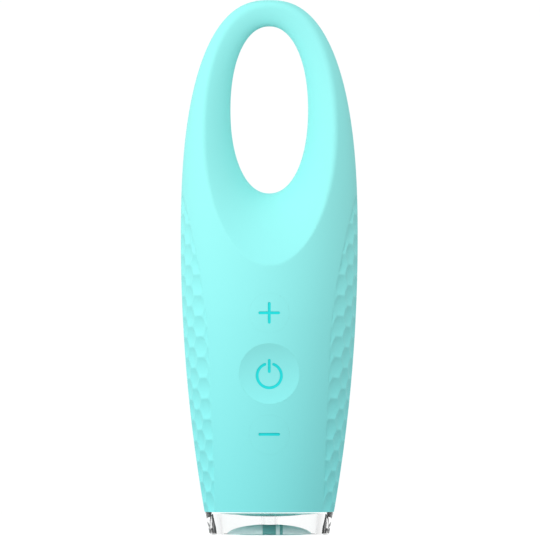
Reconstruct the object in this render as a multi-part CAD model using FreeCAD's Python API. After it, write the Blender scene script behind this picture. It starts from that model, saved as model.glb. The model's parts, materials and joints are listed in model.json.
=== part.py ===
"""Eye massager: a silicone-skinned handle that ends in a soft loop, with three push buttons on its front.

The frame is in millimetres. The origin is at the middle of the clear foot's underside, +Z runs up
the handle to the loop, and the buttons face -Y.
"""

import FreeCAD
import Part
import functools
import math
import os

V = FreeCAD.Vector
X_AXIS = V(1, 0, 0)
Y_AXIS = V(0, 1, 0)
Z_AXIS = V(0, 0, 1)

# Outline of the handle and loop
HEIGHT = 123.0
HALF_WIDTH = 20.36
WIDEST_Z = 68.0
HALF_DEPTH = 14.0
DEEPEST_Z = 50.0
EDGE_HALF_WIDTH = 14.9
EDGE_HALF_DEPTH = 10.6
CROWN_POWER = 2.45
FRONT_TAPER_POWER = 1.4
BACK_TAPER_POWER = 1.55
TIP_ROUNDNESS = 0.45

# Opening of the loop, at its narrowest and where it flares out to the front and the back
ARM_WIDTH = 11.44
TIP_WALL = 6.1
LOOP_POWER = 2.15
THROAT_Y = 0.5
FRONT_FLARE_SIDE = 18.0
FRONT_FLARE_BELOW = 26.0
FRONT_FLARE_ABOVE = 12.0
BACK_FLARE_SIDE = 9.0
BACK_FLARE_BELOW = 12.0
BACK_FLARE_ABOVE = 7.0
FLARE_DEPTH_AT_CREASE = 15.0
FLARE_DEPTH_AT_TIP = 3.1
CREASE_DROP = 16.5
FLARE_LAST_ANGLE = 80.0

# Walls and clearances
SKIN_WALL = 1.6
BOND_GAP = 0.1
SHELL_WALL = 1.5
FIT_GAP = 0.15
RUNNING_GAP = 0.05
THREAD_GAP = 0.02
LOOSE_GAP = 0.3

# How many sections and points the lofts go through
LOWER_SECTIONS = 6
UPPER_SECTIONS = 11
FLARE_SECTIONS = 8
FLARE_POINTS = 28
LAST_SECTION_ANGLE = 88.5

# Clear foot and the plug that closes the handle
FOOT_HEIGHT = 5.25
FOOT_STEP = 0.15
FOOT_TAPER = 0.95
FOOT_EDGE_ROUND = 0.35
FOOT_WALL = 3.55
FOOT_LOW_WALL = 3.05
FOOT_LEDGE_HEIGHT = 0.3
FOOT_LEDGE_WIDTH = 0.6
LINER_HEIGHT = 2.4
LINER_THICKNESS = 0.3
PLUG_HEIGHT = 3.75
PLUG_BULGE_SIDE_MARGIN = 7.35
PLUG_BULGE_FRONT_MARGIN = 5.6
PLUG_BULGE_DROP = 0.5
SEAL_HEIGHT = 1.4
SEAL_WIDTH = 1.1
SEAL_LIFT = 1.3

# Charging socket
SOCKET_RADIUS = 1.25
SOCKET_WALL = 0.55
SOCKET_LIFT = 0.4
SOCKET_DEPTH = 9.5
SOCKET_FLANGE_RADIUS = 3.0
SOCKET_FLANGE_HEIGHT = 1.0
SOCKET_BODY_RADIUS = 2.4
SOCKET_END_WALL = 1.2
CONTACT_THICKNESS = 0.4
CONTACT_LAP = 0.25
CONTACT_RELIEF = 0.3

# Lamp board over the plug
LAMP_BOARD_THICKNESS = 0.8
LAMP_SIZE = 0.9
LAMP_HEIGHT = 0.5
LIGHT_PIPE_RADIUS = 0.7

# Buttons
POWER_Z = 37.1
PLUS_Z = 51.05
MINUS_Z = 23.2
POWER_RADIUS = 6.95
LEVEL_RADIUS = 4.6
PRESS_TRAVEL = 0.5
DISH_DEPTH = 1.0
BUTTON_EXTRA_DEPTH = 0.4
ICON_STROKE = 0.65
ICON_SINK = 0.15
ICON_DEPTH = 0.45
LEVEL_ICON_LENGTH = 4.96
RING_RADIUS = 2.78
RING_DROP = 0.45
RING_GAP_ANGLE = 21.0
BAR_TOP = 3.4
BAR_BOTTOM = 0.15
KEY_RIM = 1.4
KEY_HEAD = 0.9
KEY_STEM_RADIUS = 1.5
SHORTEST_KEY_STEM = 0.68

# Circuit board and its switches
BOARD_HALF_WIDTH = 6.5
BOARD_BELOW_SWITCH = 6.5
BOARD_ABOVE_SWITCH = 3.75
BOARD_THICKNESS = 1.0
BOARD_CORNER = 1.2
BOARD_SCREW_INSET = 1.7
SWITCH_SIZE = 4.4
SWITCH_HEIGHT = 1.6
SWITCH_PLUNGER_RADIUS = 0.9
SWITCH_PLUNGER_LENGTH = 1.2
CHIP_HEIGHT = 0.9
CONTROLLER_SIZE = 4.0
CHARGER_SIZE = 3.0
PASSIVE_LENGTH = 1.0
PASSIVE_WIDTH = 0.5
PASSIVE_HEIGHT = 0.5

# Chassis plate behind the board
STANDOFF_HEIGHT = 1.0
STANDOFF_RADIUS = 1.5
CHASSIS_THICKNESS = 1.2
RIB_THICKNESS = 2.0
RIB_HALF_WIDTH = 5.2

# Battery
BATTERY_LENGTH = 40.0
BATTERY_LIFT = 1.5
BATTERY_HEADROOM = 1.5
BATTERY_GAP = 0.5
PAD_THICKNESS = 3.23
TAB_THICKNESS = 0.3
TAB_HALF_WIDTH = 2.0
PAD_HALF_WIDTH = 4.6
PAD_END_INSET = 6.0

# Vibration motors, one at the root of each arm of the loop
MOTOR_SIDE_GAP = 1.75
MOTOR_Y = 0.5
MOTOR_RADIUS = 3.0
MOTOR_LENGTH = 11.0
MOTOR_CAP_HEIGHT = 1.2
MOTOR_CAP_STEP = 0.15
SHAFT_RADIUS = 0.4
SHAFT_SOCKET = 5.0
WEIGHT_RADIUS = 2.6
WEIGHT_HUB_RADIUS = 1.1
WEIGHT_LENGTH = 4.2
WEIGHT_GAP = 1.0
WEIGHT_HEADROOM = 0.8
BOOT_WALL = 0.85
BOOT_END_GAP = 0.8
SADDLE_THICKNESS = 1.5
BRACKET_HEIGHT = 3.5
BRACKET_FRONT = 5.2
BRACKET_BACK = 1.0
BRACKET_BOSS_RADIUS = 2.2

# Loop core and how it is pinned to the shells
STUB_HEIGHT = 5.5
PEG_EDGE = 5.0
PEG_RADIUS = 1.5
PEG_LENGTH = 4.5
PIN_RADIUS = 0.6
PIN_GRIP = 1.2
PIN_DROP = 2.2

# Screws
SHELL_SCREW_RADIUS = 0.8
SHELL_SCREW_HEAD_RADIUS = 1.5
SHELL_SCREW_HEAD_HEIGHT = 1.0
SHELL_SCREW_LENGTH = 10.5
SHELL_BOSS_RADIUS = 2.2
SHELL_SCREW_SEAT_Y = 3.0
SHELL_SCREW_EDGE = 1.9
UPPER_SCREW_DROP = 4.5
LOWER_SCREW_LIFT = 3.0
SMALL_SCREW_RADIUS = 0.7
SMALL_SCREW_HEAD_RADIUS = 1.25
SMALL_SCREW_HEAD_HEIGHT = 0.5
SMALL_SCREW_LENGTH = 2.6

# Wires inside the handle
WIRE_RADIUS = 0.3
WIRE_SPACING = 1.4
WIRE_SPACE = 2.8
LEAD_RISE = 2.3


def half_width(z, inset):
    """Half the width of the handle at height z, a wall thickness in from the outside."""
    if z <= WIDEST_Z:
        taper = (HALF_WIDTH - EDGE_HALF_WIDTH) / (WIDEST_Z - FOOT_HEIGHT) ** 2
        return HALF_WIDTH - inset - taper * (WIDEST_Z - z) ** 2
    rise = (z - WIDEST_Z) / (HEIGHT - inset - WIDEST_Z)
    return (HALF_WIDTH - inset) * (1 - rise**CROWN_POWER) ** (1 / CROWN_POWER)


def half_depth(z, inset, power):
    """Distance from the middle plane to the front or back at height z, a wall thickness in."""
    if z <= DEEPEST_Z:
        taper = (HALF_DEPTH - EDGE_HALF_DEPTH) / (DEEPEST_Z - FOOT_HEIGHT) ** 2
        return HALF_DEPTH - inset - taper * (DEEPEST_Z - z) ** 2
    rise = (z - DEEPEST_Z) / (HEIGHT - inset - DEEPEST_Z)
    return (HALF_DEPTH - inset) * (1 - rise**power) ** TIP_ROUNDNESS


def front_y(z):
    """Where the skin's outside meets the middle plane, at height z."""
    return -half_depth(z, 0, FRONT_TAPER_POWER)


# Sizes that follow from the ones above
BUTTONS = {
    "power": (POWER_Z, POWER_RADIUS),
    "plus": (PLUS_Z, LEVEL_RADIUS),
    "minus": (MINUS_Z, LEVEL_RADIUS),
}
HARD_INSET = SKIN_WALL + BOND_GAP
CAVITY_INSET = HARD_INSET + SHELL_WALL
INNER_FIT = CAVITY_INSET + FIT_GAP
BUTTON_FLOOR = SKIN_WALL + BUTTON_EXTRA_DEPTH
DISH_RADIUS = (POWER_RADIUS**2 + DISH_DEPTH**2) / (2 * DISH_DEPTH)

# Front to back: the button that sits lowest in the handle sets the place of the switches and the board
PLUNGER_TIP_Y = max(front_y(z) for z, _ in BUTTONS.values()) + BUTTON_FLOOR + KEY_HEAD + SHORTEST_KEY_STEM
SWITCH_FRONT_Y = PLUNGER_TIP_Y + PRESS_TRAVEL
BOARD_FRONT_Y = SWITCH_FRONT_Y + SWITCH_HEIGHT
BOARD_BACK_Y = BOARD_FRONT_Y + BOARD_THICKNESS
CHASSIS_FRONT_Y = BOARD_BACK_Y + STANDOFF_HEIGHT
CHASSIS_BACK_Y = CHASSIS_FRONT_Y + CHASSIS_THICKNESS

# Bottom to top: foot, plug, socket, board and battery, motors, and then the loop
FOOT_LOW_INSET = FOOT_STEP + FOOT_TAPER
CHAMBER_LOW_INSET = FOOT_LOW_INSET + FOOT_LOW_WALL
PLUG_TOP_Z = FOOT_HEIGHT + PLUG_HEIGHT
LAMP_BOARD_TOP_Z = PLUG_TOP_Z + LAMP_BOARD_THICKNESS
LAMP_X = EDGE_HALF_WIDTH - INNER_FIT - SEAL_WIDTH - LIGHT_PIPE_RADIUS - FIT_GAP
SOCKET_TOP_Z = SOCKET_LIFT + SOCKET_DEPTH
CONTACT_LOW_Z = SOCKET_TOP_Z + CONTACT_RELIEF
CONTACT_HIGH_Z = CONTACT_LOW_Z + CONTACT_THICKNESS
BOARD_LOW_Z = MINUS_Z - SWITCH_SIZE / 2 - BOARD_BELOW_SWITCH
BOARD_HIGH_Z = PLUS_Z + SWITCH_SIZE / 2 + BOARD_ABOVE_SWITCH
BATTERY_LOW_Z = BOARD_LOW_Z + BATTERY_LIFT
BATTERY_HIGH_Z = BATTERY_LOW_Z + BATTERY_LENGTH
CHASSIS_LOW_Z = BOARD_LOW_Z
CHASSIS_HIGH_Z = max(BOARD_HIGH_Z, BATTERY_HIGH_Z + BATTERY_HEADROOM)
BATTERY_FRONT_Y = CHASSIS_BACK_Y + BATTERY_GAP
BATTERY_BACK_Y = half_depth(BATTERY_LOW_Z, CAVITY_INSET, BACK_TAPER_POWER) - PAD_THICKNESS
BATTERY_RADIUS = (BATTERY_BACK_Y - BATTERY_FRONT_Y) / 2
BATTERY_Y = (BATTERY_BACK_Y + BATTERY_FRONT_Y) / 2
MOTOR_LOW_Z = CHASSIS_HIGH_Z + WIRE_SPACE + MOTOR_CAP_HEIGHT
MOTOR_HIGH_Z = MOTOR_LOW_Z + MOTOR_LENGTH
WEIGHT_LOW_Z = MOTOR_HIGH_Z + WEIGHT_GAP
WEIGHT_HIGH_Z = WEIGHT_LOW_Z + WEIGHT_LENGTH
BRACKET_Z = MOTOR_LOW_Z + MOTOR_LENGTH / 2
BOOT_RADIUS = MOTOR_RADIUS + THREAD_GAP + BOOT_WALL
MOTOR_X = half_width(BRACKET_Z, CAVITY_INSET) - MOTOR_SIDE_GAP - BOOT_RADIUS
BRACKET_FRONT_Y = MOTOR_Y - BRACKET_FRONT
BRACKET_BACK_Y = MOTOR_Y - BRACKET_BACK
LOOP_LOW_Z = WEIGHT_HIGH_Z + WEIGHT_HEADROOM
LOOP_HIGH_Z = HEIGHT - TIP_WALL
LOOP_HALF_WIDTH = HALF_WIDTH - ARM_WIDTH
CREASE_LOW_Z = LOOP_LOW_Z - CREASE_DROP
STUB_LOW_Z = LOOP_LOW_Z
LOOP_SEAT_Z = STUB_LOW_Z + STUB_HEIGHT
PEG_X = half_width(LOOP_SEAT_Z, HARD_INSET) - PEG_EDGE
PIN_HALF_LENGTH = PEG_RADIUS + PIN_GRIP

# Beyond everything, for cutting tools that go right through
FAR = 2 * HEIGHT


def shell_screw_x(z):
    """How far out a shell screw sits at height z, so that it goes through the chassis near its edge."""
    lean = CHASSIS_FRONT_Y / half_depth(z, INNER_FIT, FRONT_TAPER_POWER)
    return half_width(z, INNER_FIT) * math.sqrt(1 - lean**2) - SHELL_SCREW_EDGE


SHELL_SCREW_PLACES = [
    (side * shell_screw_x(z), z)
    for side in (-1, 1)
    for z in (CHASSIS_HIGH_Z - UPPER_SCREW_DROP, CHASSIS_LOW_Z + LOWER_SCREW_LIFT)
]
BOARD_SCREW_PLACES = [
    (side * (BOARD_HALF_WIDTH - BOARD_SCREW_INSET), z)
    for side in (-1, 1)
    for z in (BOARD_LOW_Z + BOARD_SCREW_INSET, BOARD_HIGH_Z - BOARD_SCREW_INSET)
]
MOTOR_SIDES = {"left": -1, "right": 1}


def half_ellipse(half_x, reach_y, z):
    """Half an ellipse in a level plane, from -X to +X through reach_y on the Y axis."""
    through = V(0, reach_y, z)
    quarter = math.sqrt(0.5)
    points = [
        V(-half_x, 0, z),
        V(-half_x * quarter, reach_y * quarter, z),
        through,
        V(half_x * quarter, reach_y * quarter, z),
        V(half_x, 0, z),
    ]
    if half_x >= abs(reach_y):
        ellipse = Part.Ellipse(V(half_x, 0, z), V(0, reach_y, z), V(0, 0, z))
    else:
        ellipse = Part.Ellipse(V(0, reach_y, z), V(half_x, 0, z), V(0, 0, z))
    first = ellipse.parameter(points[0])
    last = ellipse.parameter(points[-1])
    edge = Part.Edge(ellipse, first, last)
    if edge.distToShape(Part.Vertex(through))[0] > 1e-6:
        edge = Part.Edge(ellipse, last, first)
    return edge


def level_section(z, inset):
    """Closed outline of the handle at height z, half an ellipse to the front and half to the back."""
    width = half_width(z, inset)
    front = half_ellipse(width, -half_depth(z, inset, FRONT_TAPER_POWER), z)
    back = half_ellipse(width, half_depth(z, inset, BACK_TAPER_POWER), z)
    return Part.Wire(Part.__sortEdges__([front, back]))


@functools.lru_cache
def envelope(inset):
    """Solid of the whole handle and loop with no opening, a wall thickness in from the outside."""
    crown = HEIGHT - inset - DEEPEST_Z
    heights = [
        FOOT_HEIGHT + (DEEPEST_Z - FOOT_HEIGHT) * i / LOWER_SECTIONS for i in range(LOWER_SECTIONS)
    ]
    for i in range(UPPER_SECTIONS + 1):
        angle = math.radians(LAST_SECTION_ANGLE * i / UPPER_SECTIONS)
        heights.append(DEEPEST_Z + crown * math.sin(angle))
    return Part.makeLoft([level_section(z, inset) for z in heights], True, False)


def slab(low_z, high_z):
    """Block that holds everything between two heights."""
    return Part.makeBox(2 * FAR, 2 * FAR, high_z - low_z, V(-FAR, -FAR, low_z))


def slice_of_handle(inset, low_z, high_z):
    """The piece of the handle's solid between two heights, a wall thickness in from the outside."""
    return envelope(inset).common(slab(low_z, high_z))


def flare_section(turn, grow):
    """Outline of the loop's opening where its wall has turned this far from straight, in radians.

    A turn of zero is the throat, a positive turn lies to the front and a negative one to the back.
    """
    roll = 1 - math.cos(turn)
    if turn >= 0:
        side, below, above = FRONT_FLARE_SIDE, FRONT_FLARE_BELOW, FRONT_FLARE_ABOVE
    else:
        side, below, above = BACK_FLARE_SIDE, BACK_FLARE_BELOW, BACK_FLARE_ABOVE
    half_x = LOOP_HALF_WIDTH + grow + (side - grow) * roll
    low_z = LOOP_LOW_Z - grow - (below - grow) * roll
    high_z = LOOP_HIGH_Z + grow + (above - grow) * roll
    middle_z = (low_z + high_z) / 2
    half_z = (high_z - low_z) / 2
    outline = []
    for i in range(FLARE_POINTS):
        angle = 2 * math.pi * i / FLARE_POINTS
        c, s = math.cos(angle), math.sin(angle)
        x = half_x * math.copysign(abs(c) ** (2 / LOOP_POWER), c)
        z = middle_z + half_z * math.copysign(abs(s) ** (2 / LOOP_POWER), s)
        rise = (z - CREASE_LOW_Z) / (HEIGHT - CREASE_LOW_Z)
        depth = FLARE_DEPTH_AT_CREASE + (FLARE_DEPTH_AT_TIP - FLARE_DEPTH_AT_CREASE) * rise - grow
        outline.append(V(x, THROAT_Y - math.sin(turn) * depth, z))
    curve = Part.BSplineCurve()
    curve.interpolate(outline, PeriodicFlag=True)
    return Part.Wire([curve.toShape()])


def loop_opening(grow):
    """Solids that together fill the loop's opening and its flares, a wall thickness larger all round."""
    step = math.radians(FLARE_LAST_ANGLE) / FLARE_SECTIONS
    sections = [flare_section(step * i, grow) for i in range(-FLARE_SECTIONS, FLARE_SECTIONS + 1)]
    behind = Part.Face(sections[0]).extrude(V(0, FAR, 0))
    ahead = Part.Face(sections[-1]).extrude(V(0, -FAR, 0))
    return [Part.makeLoft(sections, True, False), behind, ahead]


def cylinder_y(x, z, radius, low_y, high_y):
    """Cylinder along Y."""
    return Part.makeCylinder(radius, high_y - low_y, V(x, low_y, z), Y_AXIS)


def cylinder_z(x, y, radius, low_z, high_z):
    """Cylinder along Z."""
    return Part.makeCylinder(radius, high_z - low_z, V(x, y, low_z), Z_AXIS)


def block(low, high):
    """Box between two corners."""
    size = high - low
    return Part.makeBox(size.x, size.y, size.z, low)


def centred_block(x, z, half_x, half_z, low_y, high_y):
    """Box on a point of the front face, between two depths."""
    return block(V(x - half_x, low_y, z - half_z), V(x + half_x, high_y, z + half_z))


def lens(half_x, half_y, half_z, middle_z):
    """Ellipsoid centred on the Z axis."""
    matrix = FreeCAD.Matrix()
    matrix.scale(half_x, half_y, half_z)
    ball = Part.makeSphere(1.0).transformGeometry(matrix)
    ball.translate(V(0, 0, middle_z))
    return ball


def wire_tube(points):
    """Round wire along straight runs joined by arcs as large as the runs allow."""
    edges = []
    start = points[0]
    for before, corner, after in zip(points, points[1:], points[2:]):
        into, out = corner - before, after - corner
        reach = 0.45 * min(into.Length, out.Length)
        into.normalize()
        out.normalize()
        arc_start, arc_end = corner - into * reach, corner + out * reach
        turn = into.getAngle(out)
        radius = reach / math.tan(turn / 2)
        bisector = (out - into).normalize()
        centre = corner + bisector * math.hypot(radius, reach)
        edges.append(Part.LineSegment(start, arc_start).toShape())
        edges.append(Part.Arc(arc_start, centre - bisector * radius, arc_end).toShape())
        start = arc_end
    edges.append(Part.LineSegment(start, points[-1]).toShape())
    path = Part.Wire(edges)
    profile = Part.Wire(Part.makeCircle(WIRE_RADIUS, points[0], points[1] - points[0]))
    return path.makePipeShell([profile], True, False)


def fused(shapes):
    """All the shapes joined into one solid."""
    shapes = list(shapes)
    return shapes[0].fuse(shapes[1:]).removeSplitter() if len(shapes) > 1 else shapes[0]


def rounded_bar(x, z, length, along):
    """Footprint of a straight icon stroke, a face in the XZ plane with round ends."""
    half = length / 2 - ICON_STROKE / 2
    step = along * half
    across = along.cross(Y_AXIS) * (ICON_STROKE / 2)
    middle = V(x, 0, z)
    corners = [middle + step + across, middle + step - across, middle - step - across, middle - step + across]
    end = along * (ICON_STROKE / 2)
    edges = [
        Part.LineSegment(corners[1], corners[2]).toShape(),
        Part.Arc(corners[2], middle - step - end, corners[3]).toShape(),
        Part.LineSegment(corners[3], corners[0]).toShape(),
        Part.Arc(corners[0], middle + step + end, corners[1]).toShape(),
    ]
    return Part.Face(Part.Wire(edges))


def broken_ring(z):
    """Footprint of the power icon's ring, open at the top, with round ends."""
    middle = V(0, 0, z)

    def at(angle, radius):
        return middle + V(math.sin(angle), 0, math.cos(angle)) * radius

    first = math.radians(RING_GAP_ANGLE)
    last = 2 * math.pi - first
    inner, outer = RING_RADIUS - ICON_STROKE / 2, RING_RADIUS + ICON_STROKE / 2
    cap = ICON_STROKE / 2 / RING_RADIUS
    edges = [
        Part.Arc(at(first, outer), at(math.pi, outer), at(last, outer)).toShape(),
        Part.Arc(at(last, outer), at(last + cap, RING_RADIUS), at(last, inner)).toShape(),
        Part.Arc(at(last, inner), at(math.pi, inner), at(first, inner)).toShape(),
        Part.Arc(at(first, inner), at(first - cap, RING_RADIUS), at(first, outer)).toShape(),
    ]
    return Part.Face(Part.Wire(edges))


def icon_faces(name):
    """Footprints of a button's icon strokes, in the XZ plane."""
    z = BUTTONS[name][0]
    if name == "power":
        bar_z = z + (BAR_TOP + BAR_BOTTOM) / 2
        return [broken_ring(z - RING_DROP), rounded_bar(0, bar_z, BAR_TOP - BAR_BOTTOM, Z_AXIS)]
    bars = [rounded_bar(0, z, LEVEL_ICON_LENGTH, X_AXIS)]
    if name == "plus":
        bars.append(rounded_bar(0, z, LEVEL_ICON_LENGTH, Z_AXIS))
    return bars


def icon_prism(name):
    """Icon strokes drawn out along Y, right through the front wall."""
    prisms = []
    for face in icon_faces(name):
        moved = face.copy()
        moved.translate(V(0, -FAR, 0))
        prisms.append(moved.extrude(V(0, FAR, 0)))
    return prisms[0].fuse(prisms[1:]) if len(prisms) > 1 else prisms[0]


def button_faces(name, skin):
    """Solid behind a button's outer face, and the one behind the floor of its icon's groove."""
    z = BUTTONS[name][0]
    if name != "power":
        return skin, envelope(ICON_DEPTH)
    slope = (front_y(z + POWER_RADIUS) - front_y(z - POWER_RADIUS)) / (2 * POWER_RADIUS)
    outward = V(0, -1, slope).normalize()
    centre = V(-FAR, front_y(z), z) + outward * (DISH_RADIUS - DISH_DEPTH)
    dish = Part.makeCylinder(DISH_RADIUS, 2 * FAR, centre, X_AXIS)
    deeper = Part.makeCylinder(DISH_RADIUS, 2 * FAR, centre - outward * ICON_DEPTH, X_AXIS)
    return skin.cut(dish), skin.cut(deeper)


def make_button(name, skin):
    """A button's silicone cap, the icon let into it and the stiff key behind it."""
    z, radius = BUTTONS[name]
    outer, groove = button_faces(name, skin)
    floor_y = front_y(z) + BUTTON_FLOOR
    body = cylinder_y(0, z, radius - RUNNING_GAP, -FAR, floor_y)
    strokes = icon_prism(name)
    cap = outer.common(body)
    cap = cap.cut(strokes.cut(groove))
    shallow = outer.copy()
    shallow.translate(V(0, ICON_SINK, 0))
    icon = strokes.common(shallow).cut(groove).common(body)
    head = cylinder_y(0, z, radius - KEY_RIM, floor_y, floor_y + KEY_HEAD)
    stem = cylinder_y(0, z, KEY_STEM_RADIUS, floor_y + KEY_HEAD, PLUNGER_TIP_Y)
    return cap, icon, fused([head, stem])


def make_switch(z):
    """A board switch's case, with the well that its plunger sinks into, and the plunger."""
    half = SWITCH_SIZE / 2
    case = centred_block(0, z, half, half, SWITCH_FRONT_Y, BOARD_FRONT_Y)
    well_y = PLUNGER_TIP_Y + SWITCH_PLUNGER_LENGTH + PRESS_TRAVEL + RUNNING_GAP
    well = cylinder_y(0, z, SWITCH_PLUNGER_RADIUS + RUNNING_GAP, SWITCH_FRONT_Y - 1, well_y)
    plunger = cylinder_y(0, z, SWITCH_PLUNGER_RADIUS, PLUNGER_TIP_Y, PLUNGER_TIP_Y + SWITCH_PLUNGER_LENGTH)
    return case.cut(well), plunger


def make_skin(skin_solid):
    """The silicone skin, hollow and open at its lower edge, with a round hole for each button."""
    hollow = envelope(SKIN_WALL).cut(loop_opening(SKIN_WALL))
    skin = skin_solid.cut(hollow)
    for z, radius in BUTTONS.values():
        skin = skin.cut(cylinder_y(0, z, radius, -FAR, BOARD_FRONT_Y))
    return skin


def shell_bosses(low_y, high_y):
    """Screw posts between two depths, one at each place where the shells are screwed together."""
    return [cylinder_y(x, z, SHELL_BOSS_RADIUS, low_y, high_y) for x, z in SHELL_SCREW_PLACES]


def motor_saddles():
    """Ribs of the rear shell that the motors' boots lie in."""
    ribs = []
    for side in MOTOR_SIDES.values():
        x = side * MOTOR_X
        for z in (BRACKET_Z - BRACKET_HEIGHT, BRACKET_Z + BRACKET_HEIGHT):
            rib = centred_block(x, z, BOOT_RADIUS, SADDLE_THICKNESS / 2, MOTOR_Y, FAR)
            ribs.append(rib)
    return ribs


def bracket_boss():
    """Post of the rear shell that the motor bracket is screwed to."""
    return cylinder_y(0, BRACKET_Z, BRACKET_BOSS_RADIUS, BRACKET_BACK_Y, FAR)


def peg_and_pin_holes():
    """Holes in the shells' stubs for the loop core's pegs and the pins across them."""
    holes = []
    for side in (-1, 1):
        x = side * PEG_X
        low_z = LOOP_SEAT_Z - PEG_LENGTH - RUNNING_GAP
        holes.append(cylinder_z(x, 0, PEG_RADIUS + RUNNING_GAP, low_z, LOOP_SEAT_Z))
        holes.append(cylinder_y(x, LOOP_SEAT_Z - PIN_DROP, PIN_RADIUS + THREAD_GAP, -PIN_HALF_LENGTH, FAR))
    return holes


def make_shells(core):
    """The stiff front and rear shells that meet on the middle plane, with their bosses and holes."""
    body = core.common(slab(FOOT_HEIGHT, LOOP_SEAT_Z))
    cavity = envelope(CAVITY_INSET).common(slab(FOOT_HEIGHT, STUB_LOW_Z))
    cavity = cavity.cut(loop_opening(CAVITY_INSET))
    front_half = block(V(-FAR, -FAR, 0), V(FAR, 0, HEIGHT))
    rear_half = block(V(-FAR, 0, 0), V(FAR, FAR, HEIGHT))
    button_holes = [
        cylinder_y(0, z, radius + LOOSE_GAP, -FAR, BOARD_FRONT_Y) for z, radius in BUTTONS.values()
    ]
    walls = body.cut(cavity).cut(peg_and_pin_holes())
    for hole in button_holes:
        walls = walls.cut(hole)

    mid_wall = envelope(HARD_INSET + SHELL_WALL / 2)
    front_posts = [post.common(mid_wall) for post in shell_bosses(-FAR, CHASSIS_FRONT_Y)]
    front = fused([walls.common(front_half)] + front_posts)
    rear_posts = shell_bosses(CHASSIS_BACK_Y, FAR) + motor_saddles() + [bracket_boss()]
    rear = fused([walls.common(rear_half)] + [post.common(mid_wall) for post in rear_posts])

    for x, z in SHELL_SCREW_PLACES:
        hole = SHELL_SCREW_RADIUS + THREAD_GAP
        end_y = SHELL_SCREW_SEAT_Y - SHELL_SCREW_LENGTH - FIT_GAP
        front = front.cut(cylinder_y(x, z, hole, end_y, CHASSIS_FRONT_Y))
        rear = rear.cut(cylinder_y(x, z, hole, CHASSIS_BACK_Y, SHELL_SCREW_SEAT_Y))
        head_hole = SHELL_SCREW_HEAD_RADIUS + FIT_GAP
        rear = rear.cut(cylinder_y(x, z, head_hole, SHELL_SCREW_SEAT_Y, FAR))
    for side in MOTOR_SIDES.values():
        boot = cylinder_z(side * MOTOR_X, MOTOR_Y, BOOT_RADIUS + THREAD_GAP, MOTOR_LOW_Z, MOTOR_HIGH_Z)
        rear = rear.cut(boot)
    end_y = BRACKET_FRONT_Y + bracket_screw_length() + FIT_GAP
    rear = rear.cut(cylinder_y(0, BRACKET_Z, SHELL_SCREW_RADIUS + THREAD_GAP, BRACKET_BACK_Y, end_y))
    return front, rear


def bracket_screw_length():
    """Shank length of the bracket's screw: through the bracket and as far again into the boss."""
    return 2 * (BRACKET_BACK_Y - BRACKET_FRONT_Y)


def screw_y(x, z, seat_y, towards, radius, length, head_radius, head_height):
    """Pan-head screw along Y whose head stands on seat_y, and whose shank runs the way towards says."""
    axis = Y_AXIS * towards
    shank = Part.makeCylinder(radius, length, V(x, seat_y, z), axis)
    head = Part.makeCylinder(head_radius, head_height, V(x, seat_y, z), axis * -1)
    slot = centred_block(x, z, head_radius, radius / 4, -radius / 3, radius / 3)
    slot.translate(V(0, seat_y - towards * head_height, 0))
    return fused([shank, head]).cut(slot)


def make_loop_core(core):
    """The stiff arch inside the loop, with a peg under each foot."""
    arch = core.common(slab(LOOP_SEAT_Z, HEIGHT))
    pegs = [
        cylinder_z(side * PEG_X, 0, PEG_RADIUS, LOOP_SEAT_Z - PEG_LENGTH, LOOP_SEAT_Z) for side in (-1, 1)
    ]
    arch = fused([arch] + pegs)
    for side in (-1, 1):
        pin_hole = cylinder_y(side * PEG_X, LOOP_SEAT_Z - PIN_DROP, PIN_RADIUS + THREAD_GAP, -FAR, FAR)
        arch = arch.cut(pin_hole)
    return arch


def make_loop_pins():
    """Pins across the loop core's pegs."""
    return [
        cylinder_y(side * PEG_X, LOOP_SEAT_Z - PIN_DROP, PIN_RADIUS, -PIN_HALF_LENGTH, PIN_HALF_LENGTH)
        for side in (-1, 1)
    ]


def make_board():
    """Main circuit board, with rounded corners and a hole for each screw."""
    board = block(
        V(-BOARD_HALF_WIDTH, BOARD_FRONT_Y, BOARD_LOW_Z), V(BOARD_HALF_WIDTH, BOARD_BACK_Y, BOARD_HIGH_Z)
    )
    corners = [e for e in board.Edges if abs(e.tangentAt(e.FirstParameter).y) > 0.9]
    board = board.makeFillet(BOARD_CORNER, corners)
    for x, z in BOARD_SCREW_PLACES:
        board = board.cut(cylinder_y(x, z, SMALL_SCREW_RADIUS + FIT_GAP, BOARD_FRONT_Y, BOARD_BACK_Y))
    return board


def make_board_screws():
    """Screws that hold the board to the chassis."""
    return [
        screw_y(
            x, z, BOARD_FRONT_Y, 1, SMALL_SCREW_RADIUS, SMALL_SCREW_LENGTH,
            SMALL_SCREW_HEAD_RADIUS, SMALL_SCREW_HEAD_HEIGHT,
        )
        for x, z in BOARD_SCREW_PLACES
    ]


def chip(x, z, size_x, size_z, height):
    """Component on the front of the board."""
    return centred_block(x, z, size_x / 2, size_z / 2, BOARD_FRONT_Y - height, BOARD_FRONT_Y)


def make_passives():
    """Rows of small components beside the controller and the charger chip."""
    rows = []
    for z in ((PLUS_Z + POWER_Z) / 2, (POWER_Z + MINUS_Z) / 2):
        for side in (-1, 1):
            for step in (-1, 0, 1):
                x = side * (CONTROLLER_SIZE / 2 + 2 * PASSIVE_LENGTH)
                rows.append(chip(x, z + step * 2 * PASSIVE_LENGTH, PASSIVE_LENGTH, PASSIVE_WIDTH, PASSIVE_HEIGHT))
    return rows


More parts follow.
